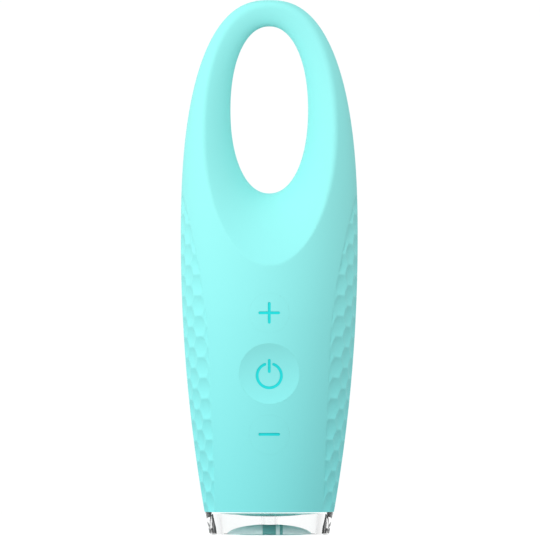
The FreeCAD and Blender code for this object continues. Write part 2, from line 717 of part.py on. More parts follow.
def make_chassis():
    """Plate across the handle that carries the board in front and the battery behind."""
    plate = slice_of_handle(INNER_FIT, CHASSIS_LOW_Z, CHASSIS_HIGH_Z)
    plate = plate.common(
        block(V(-FAR, CHASSIS_FRONT_Y, CHASSIS_LOW_Z), V(FAR, CHASSIS_BACK_Y, CHASSIS_HIGH_Z))
    )
    posts = [
        cylinder_y(x, z, STANDOFF_RADIUS, BOARD_BACK_Y, CHASSIS_FRONT_Y) for x, z in BOARD_SCREW_PLACES
    ]
    ribs = []
    for share in (0.1, 0.5, 0.9):
        z = BATTERY_LOW_Z + BATTERY_LENGTH * share
        ribs.append(centred_block(0, z, RIB_HALF_WIDTH, RIB_THICKNESS / 2, CHASSIS_BACK_Y, BATTERY_Y))
    chassis = fused([plate] + posts + ribs)
    chassis = chassis.cut(
        cylinder_z(0, BATTERY_Y, BATTERY_RADIUS + THREAD_GAP, BATTERY_LOW_Z, BATTERY_HIGH_Z)
    )
    for x, z in BOARD_SCREW_PLACES:
        hole_y = BOARD_FRONT_Y + SMALL_SCREW_LENGTH + FIT_GAP
        chassis = chassis.cut(cylinder_y(x, z, SMALL_SCREW_RADIUS + THREAD_GAP, BOARD_BACK_Y, hole_y))
    for x, z in SHELL_SCREW_PLACES:
        chassis = chassis.cut(cylinder_y(x, z, SHELL_SCREW_RADIUS + FIT_GAP, -FAR, FAR))
    return chassis


def make_battery():
    """Round cell, its welded tabs and the foam pad that beds it in the rear shell."""
    cell = cylinder_z(0, BATTERY_Y, BATTERY_RADIUS, BATTERY_LOW_Z, BATTERY_HIGH_Z)
    cell = cell.makeFillet(BATTERY_RADIUS / 9, [e for e in cell.Edges if len(e.Vertexes) == 1])
    tabs = []
    for low_z in (BATTERY_LOW_Z - TAB_THICKNESS, BATTERY_HIGH_Z):
        tabs.append(
            block(
                V(-TAB_HALF_WIDTH, BATTERY_Y - TAB_HALF_WIDTH, low_z),
                V(TAB_HALF_WIDTH, BATTERY_Y + TAB_HALF_WIDTH, low_z + TAB_THICKNESS),
            )
        )
    low_z, high_z = BATTERY_LOW_Z + PAD_END_INSET, BATTERY_HIGH_Z - PAD_END_INSET
    pad = slice_of_handle(CAVITY_INSET + THREAD_GAP, low_z, high_z)
    pad = pad.common(block(V(-PAD_HALF_WIDTH, BATTERY_Y, low_z), V(PAD_HALF_WIDTH, FAR, high_z)))
    pad = pad.cut(cylinder_z(0, BATTERY_Y, BATTERY_RADIUS + THREAD_GAP, low_z, high_z))
    return cell, tabs, pad


def make_motor(side):
    """A motor's can, its end cap and rubber boot, and the turning shaft with its lopsided weight."""
    x, y = side * MOTOR_X, MOTOR_Y
    can = cylinder_z(x, y, MOTOR_RADIUS, MOTOR_LOW_Z, MOTOR_HIGH_Z)
    shaft_low_z = MOTOR_HIGH_Z - SHAFT_SOCKET
    can = can.cut(cylinder_z(x, y, SHAFT_RADIUS + RUNNING_GAP, shaft_low_z - RUNNING_GAP, MOTOR_HIGH_Z))
    cap = cylinder_z(x, y, MOTOR_RADIUS - MOTOR_CAP_STEP, MOTOR_LOW_Z - MOTOR_CAP_HEIGHT, MOTOR_LOW_Z)
    boot_low_z, boot_high_z = MOTOR_LOW_Z + BOOT_END_GAP, MOTOR_HIGH_Z - BOOT_END_GAP
    boot = cylinder_z(x, y, BOOT_RADIUS, boot_low_z, boot_high_z)
    boot = boot.cut(cylinder_z(x, y, MOTOR_RADIUS + THREAD_GAP, boot_low_z, boot_high_z))
    shaft = cylinder_z(x, y, SHAFT_RADIUS, shaft_low_z, WEIGHT_HIGH_Z)
    half_disc = Part.makeCylinder(WEIGHT_RADIUS, WEIGHT_LENGTH, V(x, y, WEIGHT_LOW_Z), Z_AXIS, 180)
    weight = fused([half_disc, cylinder_z(x, y, WEIGHT_HUB_RADIUS, WEIGHT_LOW_Z, WEIGHT_HIGH_Z)])
    weight = weight.cut(cylinder_z(x, y, SHAFT_RADIUS + THREAD_GAP, WEIGHT_LOW_Z, WEIGHT_HIGH_Z))
    return can, cap, boot, shaft, weight


def make_bracket():
    """Bar that holds both motors down into the rear shell's saddles, and its screw."""
    low_z, high_z = BRACKET_Z - BRACKET_HEIGHT / 2, BRACKET_Z + BRACKET_HEIGHT / 2
    bar = slice_of_handle(INNER_FIT, low_z, high_z)
    bar = bar.common(block(V(-FAR, BRACKET_FRONT_Y, low_z), V(FAR, BRACKET_BACK_Y, high_z)))
    for side in MOTOR_SIDES.values():
        bar = bar.cut(cylinder_z(side * MOTOR_X, MOTOR_Y, BOOT_RADIUS + THREAD_GAP, low_z, high_z))
    bar = bar.cut(cylinder_y(0, BRACKET_Z, SHELL_SCREW_RADIUS + THREAD_GAP, -FAR, FAR))
    screw = screw_y(
        0, BRACKET_Z, BRACKET_FRONT_Y, 1, SHELL_SCREW_RADIUS, bracket_screw_length(),
        SHELL_SCREW_HEAD_RADIUS, SHELL_SCREW_HEAD_HEIGHT,
    )
    return bar, screw


def make_shell_screws():
    """Screws put in from behind that draw the two shells together."""
    return [
        screw_y(
            x, z, SHELL_SCREW_SEAT_Y, -1, SHELL_SCREW_RADIUS, SHELL_SCREW_LENGTH,
            SHELL_SCREW_HEAD_RADIUS, SHELL_SCREW_HEAD_HEIGHT,
        )
        for x, z in SHELL_SCREW_PLACES
    ]


def foot_section(inset, z):
    """Closed outline of the foot at a height, an inset in from the skin's lower edge."""
    front = half_ellipse(EDGE_HALF_WIDTH - inset, -(EDGE_HALF_DEPTH - inset), z)
    back = half_ellipse(EDGE_HALF_WIDTH - inset, EDGE_HALF_DEPTH - inset, z)
    return Part.Wire(Part.__sortEdges__([front, back]))


def foot_loft(low_inset, high_inset, low_z, high_z):
    """Tapered oval solid between two heights."""
    return Part.makeLoft([foot_section(low_inset, low_z), foot_section(high_inset, high_z)], True, True)


def make_foot():
    """Clear cup that the massager stands on, open at the top, with a ledge inside its lower edge."""
    foot = foot_loft(FOOT_LOW_INSET, FOOT_STEP, 0, FOOT_HEIGHT)
    rim = [e for e in foot.Edges if e.BoundBox.ZMax < FOOT_EDGE_ROUND]
    foot = foot.makeFillet(FOOT_EDGE_ROUND, rim)
    chamber = foot_loft(CHAMBER_LOW_INSET, FOOT_STEP + FOOT_WALL, FOOT_LEDGE_HEIGHT, FOOT_HEIGHT)
    mouth_inset = CHAMBER_LOW_INSET + FOOT_LEDGE_WIDTH
    mouth = foot_loft(mouth_inset, mouth_inset, 0, FOOT_LEDGE_HEIGHT)
    return foot.cut(chamber).cut(mouth)


def make_liner():
    """Thin domed liner that closes the cup from below, on its ledge, with a hole for the socket."""
    half_x = EDGE_HALF_WIDTH - CHAMBER_LOW_INSET - RUNNING_GAP
    half_y = EDGE_HALF_DEPTH - CHAMBER_LOW_INSET - RUNNING_GAP
    wall = LINER_THICKNESS
    liner = lens(half_x, half_y, LINER_HEIGHT, FOOT_LEDGE_HEIGHT)
    liner = liner.cut(lens(half_x - wall, half_y - wall, LINER_HEIGHT - wall, FOOT_LEDGE_HEIGHT))
    liner = liner.common(slab(FOOT_LEDGE_HEIGHT, FOOT_HEIGHT))
    return liner.cut(cylinder_z(0, 0, SOCKET_RADIUS + SOCKET_WALL + RUNNING_GAP, -1, FOOT_HEIGHT + 1))


def plug_bulge():
    """Lens shape under the plug."""
    half_x = EDGE_HALF_WIDTH - PLUG_BULGE_SIDE_MARGIN
    half_y = EDGE_HALF_DEPTH - PLUG_BULGE_FRONT_MARGIN
    return lens(half_x, half_y, PLUG_BULGE_DROP, FOOT_HEIGHT)


def make_plug():
    """Plug that closes the handle over the foot, and the seal in the groove round it."""
    plug = slice_of_handle(INNER_FIT, FOOT_HEIGHT, PLUG_TOP_Z)
    plug = fused([plug, plug_bulge().common(slab(0, FOOT_HEIGHT))])
    low_z = FOOT_HEIGHT + SEAL_LIFT
    high_z = low_z + SEAL_HEIGHT
    groove = slice_of_handle(0, low_z, high_z).cut(slice_of_handle(INNER_FIT + SEAL_WIDTH, low_z, high_z))
    plug = plug.cut(groove)
    seal = slice_of_handle(CAVITY_INSET + THREAD_GAP, low_z, high_z)
    seal = seal.cut(slice_of_handle(INNER_FIT + SEAL_WIDTH - THREAD_GAP, low_z, high_z))
    plug = plug.cut(cylinder_z(0, 0, SOCKET_RADIUS + SOCKET_WALL + RUNNING_GAP, -1, PLUG_TOP_Z + 1))
    for side in (-1, 1):
        plug = plug.cut(cylinder_z(side * LAMP_X, 0, LIGHT_PIPE_RADIUS + RUNNING_GAP, 0, PLUG_TOP_Z + 1))
    return plug, seal


def socket_end_z():
    """Height of the charging socket's inner end."""
    flange_top_z = LAMP_BOARD_TOP_Z + SOCKET_FLANGE_HEIGHT
    return max(CONTACT_HIGH_Z, flange_top_z) + SOCKET_END_WALL


def make_socket():
    """Charging socket that runs down through the plug and the foot, and the contact at its inner end."""
    tube = cylinder_z(0, 0, SOCKET_RADIUS + SOCKET_WALL, SOCKET_LIFT, LAMP_BOARD_TOP_Z)
    flange_top_z = LAMP_BOARD_TOP_Z + SOCKET_FLANGE_HEIGHT
    flange = cylinder_z(0, 0, SOCKET_FLANGE_RADIUS, LAMP_BOARD_TOP_Z, flange_top_z)
    body = cylinder_z(0, 0, SOCKET_BODY_RADIUS, flange_top_z, socket_end_z())
    socket = fused([tube, flange, body])
    socket = socket.cut(cylinder_z(0, 0, SOCKET_RADIUS, SOCKET_LIFT, SOCKET_TOP_Z))
    contact_radius = SOCKET_RADIUS + CONTACT_LAP
    socket = socket.cut(cylinder_z(0, 0, contact_radius, SOCKET_TOP_Z, CONTACT_HIGH_Z))
    contact = cylinder_z(0, 0, contact_radius - THREAD_GAP, CONTACT_LOW_Z, CONTACT_HIGH_Z)
    return socket, contact


def make_lamps():
    """Lamp board on the plug, its lamps, and the light pipes that lead down to the foot."""
    board = slice_of_handle(INNER_FIT, PLUG_TOP_Z, LAMP_BOARD_TOP_Z)
    board = board.cut(cylinder_z(0, 0, SOCKET_RADIUS + SOCKET_WALL + FIT_GAP, 0, HEIGHT))
    lamps, pipes = [], []
    half = LAMP_SIZE / 2
    lamp_low_z = PLUG_TOP_Z - LAMP_HEIGHT
    for side in (-1, 1):
        x = side * LAMP_X
        lamps.append(block(V(x - half, -half, lamp_low_z), V(x + half, half, PLUG_TOP_Z)))
        pipes.append(cylinder_z(x, 0, LIGHT_PIPE_RADIUS, FOOT_HEIGHT, lamp_low_z - RUNNING_GAP))
    return board, lamps, pipes


def board_edge_wire(start, level_z, end_x, edge_z):
    """Wire from a terminal, level across to the board's mid-thickness and into its upper or lower edge."""
    board_y = (BOARD_FRONT_Y + BOARD_BACK_Y) / 2
    points = [start, V(start.x, start.y, level_z), V(start.x, board_y, level_z)]
    if end_x != start.x:
        points.append(V(end_x, board_y, level_z))
    return wire_tube(points + [V(end_x, board_y, edge_z)])


def make_motor_leads():
    """Two wires from each motor's end cap to the top edge of the board."""
    leads = []
    cap_z = MOTOR_LOW_Z - MOTOR_CAP_HEIGHT
    for side in MOTOR_SIDES.values():
        for order in (0, 1):
            start = V(side * (MOTOR_X + WIRE_SPACING * (0.5 - order)), MOTOR_Y, cap_z)
            level_z = CHASSIS_HIGH_Z + WIRE_SPACE * (order + 1) / 3
            end_x = side * (BOARD_HALF_WIDTH - BOARD_SCREW_INSET - order * WIRE_SPACING)
            leads.append(board_edge_wire(start, level_z, end_x, BOARD_HIGH_Z))
    return leads


def make_battery_leads():
    """One wire from each battery tab to the nearer edge of the board."""
    top = V(0, BATTERY_Y, BATTERY_HIGH_Z + TAB_THICKNESS)
    bottom = V(0, BATTERY_Y, BATTERY_LOW_Z - TAB_THICKNESS)
    return [
        board_edge_wire(top, top.z + LEAD_RISE, 0, BOARD_HIGH_Z),
        board_edge_wire(bottom, bottom.z - LEAD_RISE, 0, BOARD_LOW_Z),
    ]


def make_base_leads():
    """Wires from the socket's inner end and from the lamp board up to the bottom edge of the board."""
    leads = []
    for side in (-1, 1):
        terminal = V(side * WIRE_SPACING, 0, socket_end_z())
        leads.append(board_edge_wire(terminal, (terminal.z + BOARD_LOW_Z) / 2, terminal.x, BOARD_LOW_Z))
        pad = V(side * 3 * WIRE_SPACING, BOARD_BACK_Y / 2, LAMP_BOARD_TOP_Z)
        leads.append(board_edge_wire(pad, (pad.z + BOARD_LOW_Z) / 2, pad.x, BOARD_LOW_Z))
    return leads


def export(name, shapes):
    """Write one named piece, or a group of like pieces, as a STEP file."""
    shapes = shapes if isinstance(shapes, list) else [shapes]
    solids = [solid for shape in shapes for solid in shape.Solids]
    for solid in solids:
        if not solid.isValid() or solid.Volume <= 0:
            print("INVALID", name, solid.Volume)
    whole = solids[0] if len(solids) == 1 else Part.makeCompound(solids)
    whole.exportStep(os.path.join("parts", name + ".step"))
    print(f"{name:20s} {len(solids)} solids {whole.Volume:10.2f} mm3")


def main():
    os.makedirs("parts", exist_ok=True)
    outside = envelope(0)
    skin_solid = outside.cut(loop_opening(0))
    core = envelope(HARD_INSET).cut(loop_opening(HARD_INSET))

    export("silicone_skin", make_skin(skin_solid))
    front, rear = make_shells(core)
    export("front_shell", front)
    export("rear_shell", rear)
    export("loop_core", make_loop_core(core))
    export("loop_pins", make_loop_pins())
    export("shell_screws", make_shell_screws())

    for name in BUTTONS:
        cap, icon, key = make_button(name, skin_solid)
        export(name + "_button", cap)
        export(name + "_icon", icon)
        export(name + "_key", key)
        switch, plunger = make_switch(BUTTONS[name][0])
        export(name + "_switch", switch)
        export(name + "_plunger", plunger)

    export("circuit_board", make_board())
    export("board_screws", make_board_screws())
    export("controller_chip", chip(0, (PLUS_Z + POWER_Z) / 2, CONTROLLER_SIZE, CONTROLLER_SIZE, CHIP_HEIGHT))
    export("charger_chip", chip(0, (POWER_Z + MINUS_Z) / 2, CHARGER_SIZE, CHARGER_SIZE, CHIP_HEIGHT))
    export("board_passives", make_passives())
    export("chassis", make_chassis())
    cell, tabs, pad = make_battery()
    export("battery_cell", cell)
    export("battery_tabs", tabs)
    export("battery_pad", pad)

    caps, boots = [], []
    for name, side in MOTOR_SIDES.items():
        can, cap, boot, shaft, weight = make_motor(side)
        export(name + "_motor_can", can)
        export(name + "_motor_shaft", shaft)
        export(name + "_motor_weight", weight)
        caps.append(cap)
        boots.append(boot)
    export("motor_end_caps", caps)
    export("motor_boots", boots)
    bracket, bracket_screw = make_bracket()
    export("motor_bracket", bracket)
    export("bracket_screw", bracket_screw)

    export("base_foot", make_foot())
    export("foot_liner", make_liner())
    plug, seal = make_plug()
    export("base_plug", plug)
    export("base_seal", seal)
    socket, contact = make_socket()
    export("charging_socket", socket)
    export("socket_contact", contact)
    board, lamps, pipes = make_lamps()
    export("lamp_board", board)
    export("lamps", lamps)
    export("light_pipes", pipes)
    export("motor_leads", make_motor_leads())
    export("battery_leads", make_battery_leads())
    export("base_leads", make_base_leads())


main()
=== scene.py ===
"""Looks of the eye massager: dimpled silicone skin, button caps, clear foot and the studio round them.

Sizes are in metres, in the CAD part's frame. +Z runs up the handle and the buttons face -Y.
"""

import json
import math

import bmesh
import bpy
import numpy as np
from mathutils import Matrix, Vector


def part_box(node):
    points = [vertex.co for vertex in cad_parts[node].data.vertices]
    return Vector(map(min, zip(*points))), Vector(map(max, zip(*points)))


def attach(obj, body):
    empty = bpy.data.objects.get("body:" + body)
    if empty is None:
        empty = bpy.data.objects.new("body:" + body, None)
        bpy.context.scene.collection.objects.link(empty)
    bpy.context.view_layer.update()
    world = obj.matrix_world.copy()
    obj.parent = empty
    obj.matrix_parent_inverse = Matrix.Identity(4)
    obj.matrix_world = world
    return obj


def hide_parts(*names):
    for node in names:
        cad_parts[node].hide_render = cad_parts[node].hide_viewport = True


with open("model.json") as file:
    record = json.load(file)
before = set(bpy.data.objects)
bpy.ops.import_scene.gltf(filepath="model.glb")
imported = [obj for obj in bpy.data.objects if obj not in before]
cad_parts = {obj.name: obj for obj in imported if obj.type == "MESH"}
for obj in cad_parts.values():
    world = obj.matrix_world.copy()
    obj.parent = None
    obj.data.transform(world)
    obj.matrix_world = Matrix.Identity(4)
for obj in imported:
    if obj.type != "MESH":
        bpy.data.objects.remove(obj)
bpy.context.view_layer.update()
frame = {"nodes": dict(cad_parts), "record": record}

MM = 0.001

# Outline of the handle and loop: the sizes come from the frame, the rest is as in the CAD source
SKIN_LOW, SKIN_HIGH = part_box("silicone_skin")
HEIGHT = SKIN_HIGH.z
HALF_WIDTH = SKIN_HIGH.x
HALF_DEPTH = -SKIN_LOW.y
EDGE_Z = SKIN_LOW.z
WIDEST_Z = 68.0 * MM
DEEPEST_Z = 50.0 * MM
EDGE_HALF_WIDTH = 14.9 * MM
EDGE_HALF_DEPTH = 10.6 * MM
CROWN_POWER = 2.45
FRONT_TAPER_POWER = 1.4
BACK_TAPER_POWER = 1.55
TIP_ROUNDNESS = 0.45
SKIN_WALL = 1.6 * MM

# Opening of the loop, as in the CAD source, with its crease rounded over
LOOP_HALF_WIDTH = 8.92 * MM
LOOP_LOW_Z = 78.5 * MM
LOOP_HIGH_Z = 116.9 * MM
LOOP_POWER = 2.15
THROAT_Y = 0.5 * MM
FRONT_FLARE = (18.0 * MM, 26.0 * MM, 12.0 * MM)
BACK_FLARE = (9.0 * MM, 12.0 * MM, 7.0 * MM)
FLARE_DEPTH_AT_CREASE = 15.0 * MM
FLARE_DEPTH_AT_TIP = 3.1 * MM
CREASE_LOW_Z = 62.0 * MM
FLARE_LAST_ANGLE = math.radians(80.0)
CREASE_ROUND_LOW = 0.06 * MM
CREASE_ROUND_HIGH = 0.9 * MM
CREASE_SOFT_Z = 95.0 * MM

# Honeycomb of shallow dimples down both sides
DIMPLE_PITCH = 4.74 * MM
COLUMN_STEP = 0.4 * MM
DIMPLE_DEPTH = 0.46 * MM
DIMPLE_RADIUS = 2.5 * MM
DIMPLE_EDGE_POWER = 2.2
DIMPLE_ROW_OFFSET = 2.53 * MM
DIMPLE_DROP = 0.14 * MM
DIMPLE_TOP_Z = 78.0 * MM
BORDER_X = 11.9 * MM
BORDER_LEAN = 0.044
BORDER_BEND_Z = 46.0 * MM
BORDER_SWEEP = 3.6 * MM
BORDER_SWEEP_HEIGHT = 28.7 * MM
BORDER_SWEEP_POWER = 1.5
BORDER_FADE = 0.35 * MM

# Button caps and the icons let into them
BUTTON_NAMES = ("power", "plus", "minus")
CAD_CAP_GAP = 0.05 * MM
CAP_GAP = 0.008 * MM
CAP_DEPTH = 1.9 * MM
DISH_DEPTH = 1.04 * MM
DISH_POWER = 2.3
HOLE_CLEAR_SHARE = 0.3
GROOVE_DEPTH = 0.8 * MM
GROOVE_GAP = 0.01 * MM
GROOVE_CUTTER_REACH = 5 * MM
ICON_STROKE = 0.65 * MM
LEVEL_ICON_LENGTH = 4.96 * MM
RING_RADIUS = 2.78 * MM
RING_DROP = 0.45 * MM
RING_GAP_ANGLE = math.radians(21.0)
BAR_TOP = 3.4 * MM
BAR_BOTTOM = 0.15 * MM

# Clear foot, a cup as in the CAD source but with a wider ledge, and the domed liner on that ledge
FOOT_LOW, FOOT_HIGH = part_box("base_foot")
FOOT_TAPER = 0.95 * MM
FOOT_EDGE_ROUND = 0.35 * MM
FOOT_TOP_GAP = 0.02 * MM
FOOT_WALL = 3.55 * MM
FOOT_LOW_WALL = 3.05 * MM
LEDGE_HEIGHT = 0.3 * MM
LEDGE_WIDTH = 1.7 * MM
LINER_GAP = 1.15 * MM
LINER_HEIGHT = 2.7 * MM
LINER_LIFT = 0.02 * MM
LINER_INNER_SHARE = 0.94
LINER_HOLE = 1.85 * MM
LINER_REACH = 9.45 * MM
# Dark strips across the liner: the middle one stands in for the socket tube seen through a gap in the
# dome, in the tube's own teal darkened further with painted shade of the gap; a thinner dark strip lies
# beside it
TUBE_STRIP_HALF_WIDTH = 1.45 * MM
THIN_DARK_STRIP_LEFT = 2.3 * MM
THIN_DARK_STRIP_RIGHT = 2.95 * MM
LINER_PALE_SPANS = (
    (-LINER_REACH, -TUBE_STRIP_HALF_WIDTH),
    (TUBE_STRIP_HALF_WIDTH, THIN_DARK_STRIP_LEFT),
    (THIN_DARK_STRIP_RIGHT, LINER_REACH),
)
LINER_DARK_SPANS = ((-TUBE_STRIP_HALF_WIDTH, TUBE_STRIP_HALF_WIDTH), (THIN_DARK_STRIP_LEFT, THIN_DARK_STRIP_RIGHT))

# Mesh fineness
VOXEL = 0.25 * MM
PROBE = 0.01 * MM
ROUGH_SPOKES = 96
ROUGH_LOW_RINGS = 20
ROUGH_HIGH_RINGS = 40
ROUGH_LAST_ANGLE = math.radians(89)
ROUGH_OVERHANG = 3 * MM
FLARE_RINGS = 41
SETTLE_ROUNDS = 4
RELAX_ROUNDS = 4
RELAX_SETTLE_ROUNDS = 2
DIMPLE_ROUNDS = 6
INSET_STEPS = 8
CAP_SPOKES = 240
CAP_RINGS = 30
ICON_END_POINTS = 17
ICON_ARC_POINTS = 97
FOOT_SPOKES = 192
FOOT_EDGE_RINGS = 7
LINER_POINTS = 49
LINER_STEP = 0.2 * MM
LINER_HOLE_SPOKES = 64
FLOOR_SPOKES = 96

# Share of the silicone's run of colour, a painted paler rise towards the loop that stands in for light
# through the thin silicone, that its grain adds
SILICONE_GRAIN = 0.06

# Studio: the floor, the light from the walls, the lamps, and a flag that darkens the clear foot's sides
FLOOR_RADIUS = 0.25
WALLS_RIGHT_BACK_TOP = (0.76, 1.02, 0.78)
WALLS_LEFT_FRONT_BOTTOM = (0.87, 0.64, 0.0)
LAMP_SIZE = 0.12
FRONT_LAMP_PLACE = (-0.045, -0.256, 0.2115)
FRONT_LAMP_POWER = 0.264
SIDE_LAMP_PLACE = (-0.242, -0.1695, 0.1136)
SIDE_LAMP_POWER = 0.226
FLAG_Y = 0.2
FLAG_LOW_Z = 0.028
FLAG_HIGH_Z = 0.06
FLAG_HALF_LENGTH = 0.11

# Photograph's framing
VIEW_WIDTH = 124.26 * MM
VIEW_CENTRE = (0.17 * MM, 60.86 * MM)
CAMERA_DISTANCE = 3.0
SENSOR = 36.0


def width_power(z, inset):
    """(half width / widest) ** CROWN_POWER at heights z, which runs on below zero past the crown."""
    widest = HALF_WIDTH - inset
    taper = (HALF_WIDTH - EDGE_HALF_WIDTH) / (WIDEST_Z - EDGE_Z) ** 2
    below = (1 - taper * (WIDEST_Z - z) ** 2 / widest) ** CROWN_POWER
    rise = np.clip((z - WIDEST_Z) / (HEIGHT - inset - WIDEST_Z), 0, None)
    return np.where(z <= WIDEST_Z, below, 1 - rise**CROWN_POWER)


def half_width(z, inset=0.0):
    return (HALF_WIDTH - inset) * np.clip(width_power(z, inset), 1e-5, None) ** (1 / CROWN_POWER)


def half_depth(z, y, inset=0.0):
    """Reach from the middle plane to the front where y is negative, and to the back elsewhere."""
    power = np.where(y < 0, FRONT_TAPER_POWER, BACK_TAPER_POWER)
    taper = (HALF_DEPTH - EDGE_HALF_DEPTH) / (DEEPEST_Z - EDGE_Z) ** 2
    below = HALF_DEPTH - inset - taper * (DEEPEST_Z - z) ** 2
    rise = np.clip((z - DEEPEST_Z) / (HEIGHT - inset - DEEPEST_Z), 0, 1 - 1e-5)
    above = (HALF_DEPTH - inset) * (1 - rise**power) ** TIP_ROUNDNESS
    return np.where(z <= DEEPEST_Z, below, above)


def front_y(x, z):
    """Where the handle's front surface lies, before any dish or dimple."""
    return -half_depth(z, -1.0) * np.sqrt(1 - (x / half_width(z)) ** 2)


def handle_value(points, inset):
    """Below zero inside the handle and loop taken as one solid with no opening."""
    x, y, z = points.T
    widest = HALF_WIDTH - inset
    flat_y = y * half_width(z, inset) / half_depth(z, y, inset)
    return (np.hypot(x, flat_y) / widest) ** CROWN_POWER - width_power(z, inset)


def flare_depth(z):
    """How far the flare runs forwards and backwards from the throat."""
    rise = (z - CREASE_LOW_Z) / (HEIGHT - CREASE_LOW_Z)
    return FLARE_DEPTH_AT_CREASE + (FLARE_DEPTH_AT_TIP - FLARE_DEPTH_AT_CREASE) * rise


def opening_value(points, grow):
    """Below zero inside the loop's flared opening."""
    x, y, z = points.T
    depth = flare_depth(z) - grow
    lean = np.clip(np.abs(y - THROAT_Y) / depth, 0, math.sin(FLARE_LAST_ANGLE))
    roll = 1 - np.sqrt(1 - lean**2)
    in_front = y < THROAT_Y
    side, below, above = (np.where(in_front, f, b) - grow for f, b in zip(FRONT_FLARE, BACK_FLARE))
    half_x = LOOP_HALF_WIDTH + grow + side * roll
    low_z = LOOP_LOW_Z - grow - below * roll
    high_z = LOOP_HIGH_Z + grow + above * roll
    across = np.abs(x) / half_x
    up = np.abs(z - (low_z + high_z) / 2) / ((high_z - low_z) / 2)
    return (across**LOOP_POWER + up**LOOP_POWER) ** (1 / LOOP_POWER) - 1


def near_distance(value, points, inset):
    """Signed distance to where value is zero, to first order, and the outward direction."""
    middle = value(points, inset)
    slope = np.empty_like(points)
    for axis in range(3):
        moved = points.copy()
        moved[:, axis] += PROBE
        slope[:, axis] = (value(moved, inset) - middle) / PROBE
    length = np.linalg.norm(slope, axis=1)
    return middle / length, slope / length[:, None]


def skin_distance(points, inset=0.0):
    """Signed distance to the skin, an inset in and with a rounded crease, and the outward direction."""
    outer, outward_way = near_distance(handle_value, points, inset)
    hole, into_skin = near_distance(opening_value, points, inset)
    rise = smooth_step((points[:, 2] - CREASE_LOW_Z) / (CREASE_SOFT_Z - CREASE_LOW_Z))
    blend = CREASE_ROUND_LOW + (CREASE_ROUND_HIGH - CREASE_ROUND_LOW) * rise
    share = np.clip(0.5 + 0.5 * (outer + hole) / blend, 0, 1)
    distance = share * outer - (1 - share) * hole + blend * share * (1 - share)
    normal = share[:, None] * outward_way - (1 - share)[:, None] * into_skin
    return distance, normal / np.linalg.norm(normal, axis=1)[:, None]


def smooth_step(share):
    share = np.clip(share, 0, 1)
    return share * share * (3 - 2 * share)


def border_x(z):
    """How far out from the middle the honeycomb starts."""
    bend = np.clip((z - BORDER_BEND_Z) / BORDER_SWEEP_HEIGHT, 0, None) ** BORDER_SWEEP_POWER
    return BORDER_X + BORDER_LEAN * z + BORDER_SWEEP * bend


def dimple_depth(points):
    """How deep the honeycomb goes: hollows in columns on either hand of the plain side line."""
    x, y, z = points.T
    width = half_width(z)
    turn = np.arctan2(np.abs(y) / half_depth(z, y), np.abs(x) / width)
    column = np.sin(turn / 2) * np.sqrt(2 * width / COLUMN_STEP)
    hollow = np.zeros(len(points))
    for step in (0, 1):
        index = np.floor(column) + step
        row = (z - DIMPLE_DROP * column - DIMPLE_ROW_OFFSET) / DIMPLE_PITCH - 0.5 * (index % 2)
        up = (row - np.round(row)) * DIMPLE_PITCH
        aside = (column - index) * DIMPLE_PITCH * math.sqrt(3) / 2
        away = np.hypot(aside, up) / DIMPLE_RADIUS
        hollow = np.maximum(hollow, (index > 0) * (1 - away**DIMPLE_EDGE_POWER))
    inside = smooth_step((np.abs(x) - border_x(z)) / BORDER_FADE)
    return DIMPLE_DEPTH * hollow * inside * smooth_step((DIMPLE_TOP_Z - z) / BORDER_FADE)


def settled(points, rounds, inset=0.0, dimpled=False):
    """Points moved onto the skin."""
    for _ in range(rounds):
        distance, normal = skin_distance(points, inset)
        if dimpled:
            distance = distance + dimple_depth(points)
        points = points - np.clip(distance, -VOXEL, VOXEL)[:, None] * normal
    return points


def new_object(name, vertices, faces):
    mesh = bpy.data.meshes.new(name)
    mesh.from_pydata(vertices, [], faces)
    mesh.validate()
    obj = bpy.data.objects.new(name, mesh)
    bpy.context.scene.collection.objects.link(obj)
    return obj


def shade(obj, angle=45.0):
    """Smooth shading, with edges sharper than the angle left sharp."""
    obj.data.shade_smooth()
    obj.data.set_sharp_from_angle(angle=math.radians(angle))


def outward(obj):
    """Turns the faces of a closed mesh outwards."""
    bm = bmesh.new()
    bm.from_mesh(obj.data)
    bmesh.ops.recalc_face_normals(bm, faces=bm.faces)
    bm.to_mesh(obj.data)
    bm.free()


def modified_mesh(obj):
    """New mesh of an object as its modifiers leave it."""
    return bpy.data.meshes.new_from_object(obj.evaluated_get(bpy.context.evaluated_depsgraph_get()))


def cut_away(obj, tool):
    """Cuts a closed tool out of a closed piece, and takes the tool out of the scene."""
    for piece in (obj, tool):
        outward(piece)
    cut = obj.modifiers.new("cut", "BOOLEAN")
    cut.operation = "DIFFERENCE"
    cut.solver = "EXACT"
    cut.object = tool
    mesh = modified_mesh(obj)
    obj.modifiers.clear()
    obj.data = mesh
    bpy.data.objects.remove(tool)


def rings_to_mesh(name, rings, tip=None):
    """Closed mesh through rings of points, each end closed by one face or by a tip."""
    count = len(rings[0])
    vertices = [tuple(p) for ring in rings for p in ring]
    faces = []
    for row in range(len(rings) - 1):
        a, b = row * count, (row + 1) * count
        for i in range(count):
            j = (i + 1) % count
            faces.append((a + i, a + j, b + j, b + i))
    faces.append(tuple(reversed(range(count))))
    last = (len(rings) - 1) * count
    if tip is None:
        faces.append(tuple(last + i for i in range(count)))
    else:
        vertices.append(tip)
        faces += [(last + i, last + (i + 1) % count, len(vertices) - 1) for i in range(count)]
    return new_object(name, vertices, faces)


def circle_angles(count):
    return np.linspace(0, 2 * math.pi, count, endpoint=False)


